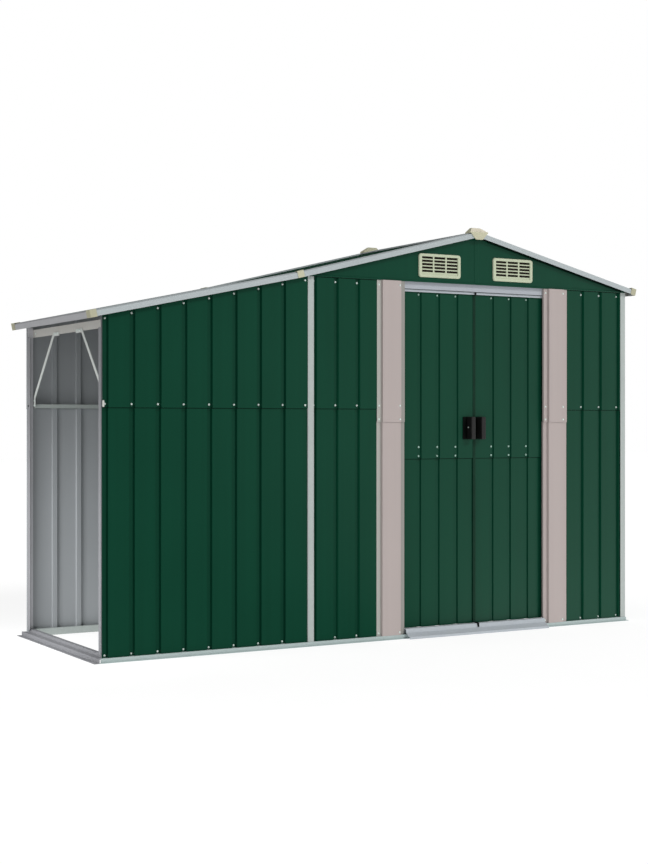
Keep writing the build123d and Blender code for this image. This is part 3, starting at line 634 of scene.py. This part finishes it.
def eyelet(name, place, radius, wire, body):
    """A ring of round wire lying on a face that looks to the left."""
    work = bmesh.new()
    rings = []
    for index in range(EYE_SIDES):
        angle = 2 * math.pi * index / EYE_SIDES
        ring = []
        for step in range(WIRE_SIDES):
            turn = 2 * math.pi * step / WIRE_SIDES
            reach = radius + wire * math.cos(turn)
            point = (wire * math.sin(turn), reach * math.cos(angle), reach * math.sin(angle))
            ring.append(work.verts.new(Vector(place) + Vector(point)))
        rings.append(ring)
    for index in range(EYE_SIDES):
        ring, following = rings[index], rings[(index + 1) % EYE_SIDES]
        for step in range(WIRE_SIDES):
            after = (step + 1) % WIRE_SIDES
            work.faces.new((ring[step], ring[after], following[after], following[step]))
    bmesh.ops.recalc_face_normals(work, faces=work.faces[:])
    mesh = bpy.data.meshes.new(name)
    work.to_mesh(mesh)
    work.free()
    for polygon in mesh.polygons:
        polygon.use_smooth = True
    place_mesh(name, mesh, "screw_zinc", body)


# Eyelet beside the left grip and a striker beside the right handle
GRIP_WIDTH = 24 * MM
EYE_REACH = 12 * MM
EYE_RISE = 53 * MM
EYE_RADIUS = 2.4 * MM
EYE_WIRE = 1 * MM
handle_low, handle_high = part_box("left_door_handle")
eye_place = (handle_high[X] - GRIP_WIDTH, handle_high[Y] - EYE_REACH, handle_low[Z] + EYE_RISE)
eyelet("handle_eyelet", eye_place, EYE_RADIUS, EYE_WIRE, "left_door")
STRIKER_WIDTH = 7 * MM
STRIKER_T = 3 * MM
STRIKER_CUT = 1.5 * MM
strike_low, strike_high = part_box("right_door_handle")
outline = clipped(
    (strike_low[X] - STRIKER_WIDTH, strike_low[Z]), (strike_low[X], strike_high[Z]), STRIKER_CUT,
)
striker = drawn_out(outline, Y, strike_high[Y] - STRIKER_T, strike_high[Y])
place_mesh("door_striker", striker, "black_rubber", "right_door")

# Screw rows sit in the groove floors, on the base rail, the mid rail and the top plate
FIRST_GROOVE = 14
GROOVE_PITCH = 112
GROOVE_COUNT = 8
LEAN_TO_GROOVES = [(FIRST_GROOVE + GROOVE_PITCH * index) * MM for index in range(GROOVE_COUNT)]
LEAN_TO_END = 900 * MM
PITCH = 105.8 * MM
FRONT_PLACES = [PITCH * index for index in range(3)]
LEFT_FIRST = 31.9 * MM
RIGHT_FIRST = 90 * MM
BOTTOM_ROW = 27 * MM
MID_ROW = 1007 * MM
TOP_ROW = 1528 * MM
LEAN_TO_TOP = 1341 * MM
FRONT = (0, -1, 0)
BACK = (0, 1, 0)
LEFT = (-1, 0, 0)
RIGHT = (1, 0, 0)
lower_floor = GROOVE_DEPTH
upper_floor = GROOVE_DEPTH - UPPER_STEP


def rows(x, top):
    return ((x, lower_floor, BOTTOM_ROW), (x, upper_floor, MID_ROW), (x, upper_floor, top))


front_screws = []
back_screws = []
for groove in LEAN_TO_GROOVES:
    top = LEAN_TO_TOP + LEAN_TO_SLOPE * (groove - LEAN_TO_GROOVES[0])
    for x, inset, z in rows(x_lean + groove, top):
        front_screws.append((x, y_front + inset, z))
        back_screws.append((x, y_back - inset, z))
for z in (MID_ROW, TOP_ROW):
    front_screws.append((x_lean + LEAN_TO_END, wall_face, z))
    back_screws.append((x_lean + LEAN_TO_END, y_back + UPPER_STEP, z))
main_left = [x_main + LEFT_FIRST + place for place in FRONT_PLACES]
main_right = [jamb_right[HIGH] + RIGHT_FIRST + place for place in FRONT_PLACES]
for place in main_left + main_right:
    for x, inset, z in rows(place, TOP_ROW):
        front_screws.append((x, y_front + inset, z))
EDGE_FOLD = 1.5 * MM
back_length = x_right - x_main - 2 * EDGE_FOLD
back_count = round(back_length / PITCH)
for index in range(back_count):
    place = x_main + EDGE_FOLD + back_length * (index + 0.5) / back_count
    for x, inset, z in rows(place, TOP_ROW):
        back_screws.append((x, y_back - inset, z))

# Jamb screws: on the flange at the left, on the raised face at the right
JAMB_ROWS = ((30, 0), (949, 1), (1007, 1), (1527, 1))
JAMB_LIFT = 10 * MM
FLANGE_INSET = 10 * MM
FACE_INSET = 30 * MM
for low, high in (jamb_left, jamb_right):
    for height, upper in JAMB_ROWS:
        flange = y_front - upper * UPPER_STEP
        front_screws.append((low + FLANGE_INSET, flange, height * MM))
        front_screws.append((high - FACE_INSET, flange - JAMB_LIFT, height * MM))
screw_group("front_screws", front_screws, FRONT, "shed")
screw_group("back_screws", back_screws, BACK, "shed")
side_low, side_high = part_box("right_wall")
SIDE_COUNT = 8
side_screws = []
for index in range(SIDE_COUNT):
    y = side_low[Y] + (side_high[Y] - side_low[Y]) * (index + 0.5) / SIDE_COUNT
    for y_place, inset, z in rows(y, TOP_ROW):
        side_screws.append((side_high[X] - UPPER_STEP - inset, y_place, z))
screw_group("right_screws", side_screws, RIGHT, "shed")

# Bolts of the braces and the beam, seen from the open end
BRACE_BOLTS = ((35, 1010), (35, 1030), (300, 1310), (330, 1310))
BEAM_BOLT_INSET = 45 * MM
brace_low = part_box("knee_braces")[LOW]
beam_low, beam_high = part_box("lean_to_beam")
beam_middle = (beam_low[Z] + beam_high[Z]) / 2
beam_screws = []
for y_wall, inward in ((y_front, 1), (y_back, -1)):
    for reach, height in BRACE_BOLTS:
        beam_screws.append((brace_low[X], y_wall + inward * reach * MM, height * MM))
    beam_screws.append((beam_low[X], y_wall + inward * BEAM_BOLT_INSET, beam_middle))
screw_group("beam_screws", beam_screws, LEFT, "shed")
POST_BOLT_INSET = 12 * MM
post_low, post_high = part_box("lean_to_back_post")
post_bolt = (post_low[X], post_high[Y] - POST_BOLT_INSET, MID_ROW)
screw_group("post_bolt", [post_bolt], LEFT, "shed", "black_plastic")

# Door screws: one row at the top and a pair over the seam, in the door's groove floors
DOOR_PITCH = 97.2 * MM
DOOR_FLOOR = 6 * MM
DOOR_ROWS = (788, 827, 1494)
DOOR_GROOVES = (1, 2, 3)
x_seam = (panel_high[X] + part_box("right_door_panels")[LOW][X]) / 2
for name, side in (("left_door", -1), ("right_door", 1)):
    floor_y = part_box(name + "_panels")[LOW][Y] + DOOR_FLOOR
    places = []
    for step in DOOR_GROOVES:
        for height in DOOR_ROWS:
            places.append((x_seam + side * step * DOOR_PITCH, floor_y, height * MM))
    screw_group(name + "_screws", places, FRONT, name, "door_screw")

# Room: the span read and the span it is carried to, then floor and lamps
GLOSS_ACROSS = (0.34, 0.72, 0.0, 2.7)
GLOSS_ALOFT = (0.14, 0.34, 1.0, 0.1)
ROOM_ACROSS = (-1, 1, 0.5, 0.65)
FLOOR_SIZE = 60
FLOOR_GREY = (0.4, 0.4, 0.4)
FLOOR_GLOW = 0.75
KEY_STRENGTH = 1.1
KEY_ANGLE = math.radians(14)
KEY_TURN = (math.radians(52), 0, math.radians(30))
FILL_WATTS = 4.5
FILL_SIZE = 0.7
FILL_SPREAD = math.radians(75)
FILL_PLACE = (x_lean - 1.2, y_front + 0.2, 0.9)
FILL_AIM = (x_lean + 0.4, y_back - 0.2, 0.0)


def spanned(tree, value, from_low, from_high, to_low, to_high):
    """Value carried from one span to another, held at its ends."""
    span = tree.nodes.new("ShaderNodeMapRange")
    span.inputs["From Min"].default_value = from_low
    span.inputs["From Max"].default_value = from_high
    span.inputs["To Min"].default_value = to_low
    span.inputs["To Max"].default_value = to_high
    tree.links.new(value, span.inputs["Value"])
    return span.outputs["Result"]


def gloss_sweep(tree, direction):
    """Brightness that glossy rays meet: none to the left, rising to the right, low overhead."""
    split = tree.nodes.new("ShaderNodeSeparateXYZ")
    tree.links.new(direction, split.inputs["Vector"])
    across = spanned(tree, split.outputs["X"], *GLOSS_ACROSS)
    aloft = spanned(tree, split.outputs["Z"], *GLOSS_ALOFT)
    product = tree.nodes.new("ShaderNodeMath")
    product.operation = "MULTIPLY"
    tree.links.new(across, product.inputs[0])
    tree.links.new(aloft, product.inputs[1])
    return product.outputs["Value"]


def mixed(tree, factor, first, second):
    """Second shader where the factor is one, first shader elsewhere."""
    mix = tree.nodes.new("ShaderNodeMixShader")
    tree.links.new(factor, mix.inputs["Fac"])
    tree.links.new(first, mix.inputs[1])
    tree.links.new(second, mix.inputs[2])
    return mix.outputs["Shader"]


def make_floor():
    """Pale floor that keeps the shadow; glossy rays meet the sweep of the room on it."""
    bpy.ops.mesh.primitive_plane_add(size=FLOOR_SIZE, location=(0, 0, 0))
    floor = bpy.context.object
    floor.name = "floor"
    look = Look("floor_paint", FLOOR_GREY, 0.9, 0.0)
    look.shader.inputs["Emission Color"].default_value = (1, 1, 1, 1)
    look.shader.inputs["Emission Strength"].default_value = FLOOR_GLOW
    floor.data.materials.append(look.finish(look.paint(look.noise(3), 0.01), look.noise(40), 0.0))
    tree = look.tree
    gloss = tree.nodes.new("ShaderNodeEmission")
    bearing = tree.nodes.new("ShaderNodeVectorMath")
    bearing.operation = "NORMALIZE"
    tree.links.new(look.place, bearing.inputs["Vector"])
    tree.links.new(gloss_sweep(tree, bearing.outputs["Vector"]), gloss.inputs["Strength"])
    ray = tree.nodes.new("ShaderNodeLightPath")
    paint, glow = look.shader.outputs["BSDF"], gloss.outputs["Emission"]
    surface = mixed(tree, ray.outputs["Is Glossy Ray"], paint, glow)
    tree.links.new(surface, tree.nodes["Material Output"].inputs["Surface"])


def make_world():
    """White where the camera looks, a softer and uneven room for the light."""
    world = bpy.data.worlds.new("studio")
    world.use_nodes = True
    tree = world.node_tree
    seen = tree.nodes["Background"]
    seen.inputs["Color"].default_value = (1, 1, 1, 1)
    seen.inputs["Strength"].default_value = 1.0
    room = tree.nodes.new("ShaderNodeBackground")
    place = tree.nodes.new("ShaderNodeTexCoord").outputs["Generated"]
    split = tree.nodes.new("ShaderNodeSeparateXYZ")
    tree.links.new(place, split.inputs["Vector"])
    tree.links.new(spanned(tree, split.outputs["X"], *ROOM_ACROSS), room.inputs["Strength"])
    gloss = tree.nodes.new("ShaderNodeBackground")
    tree.links.new(gloss_sweep(tree, place), gloss.inputs["Strength"])
    ray = tree.nodes.new("ShaderNodeLightPath")
    soft, sweep = room.outputs["Background"], gloss.outputs["Background"]
    light = mixed(tree, ray.outputs["Is Glossy Ray"], soft, sweep)
    surface = mixed(tree, ray.outputs["Is Camera Ray"], light, seen.outputs["Background"])
    tree.links.new(surface, tree.nodes["World Output"].inputs["Surface"])
    bpy.context.scene.world = world


def make_lights():
    data = bpy.data.lights.new("key", "SUN")
    data.energy = KEY_STRENGTH
    data.angle = KEY_ANGLE
    key = bpy.data.objects.new("key", data)
    key.rotation_euler = KEY_TURN
    bpy.context.scene.collection.objects.link(key)
    data = bpy.data.lights.new("side_fill", "AREA")
    data.energy = FILL_WATTS
    data.size = FILL_SIZE
    data.spread = FILL_SPREAD
    fill = bpy.data.objects.new("side_fill", data)
    fill.location = FILL_PLACE
    aim = Vector(FILL_AIM) - fill.location
    fill.rotation_euler = aim.to_track_quat("-Z", "Y").to_euler()
    bpy.context.scene.collection.objects.link(fill)


make_camera()
make_floor()
make_world()
make_lights()
bpy.context.scene.view_settings.view_transform = "Standard"
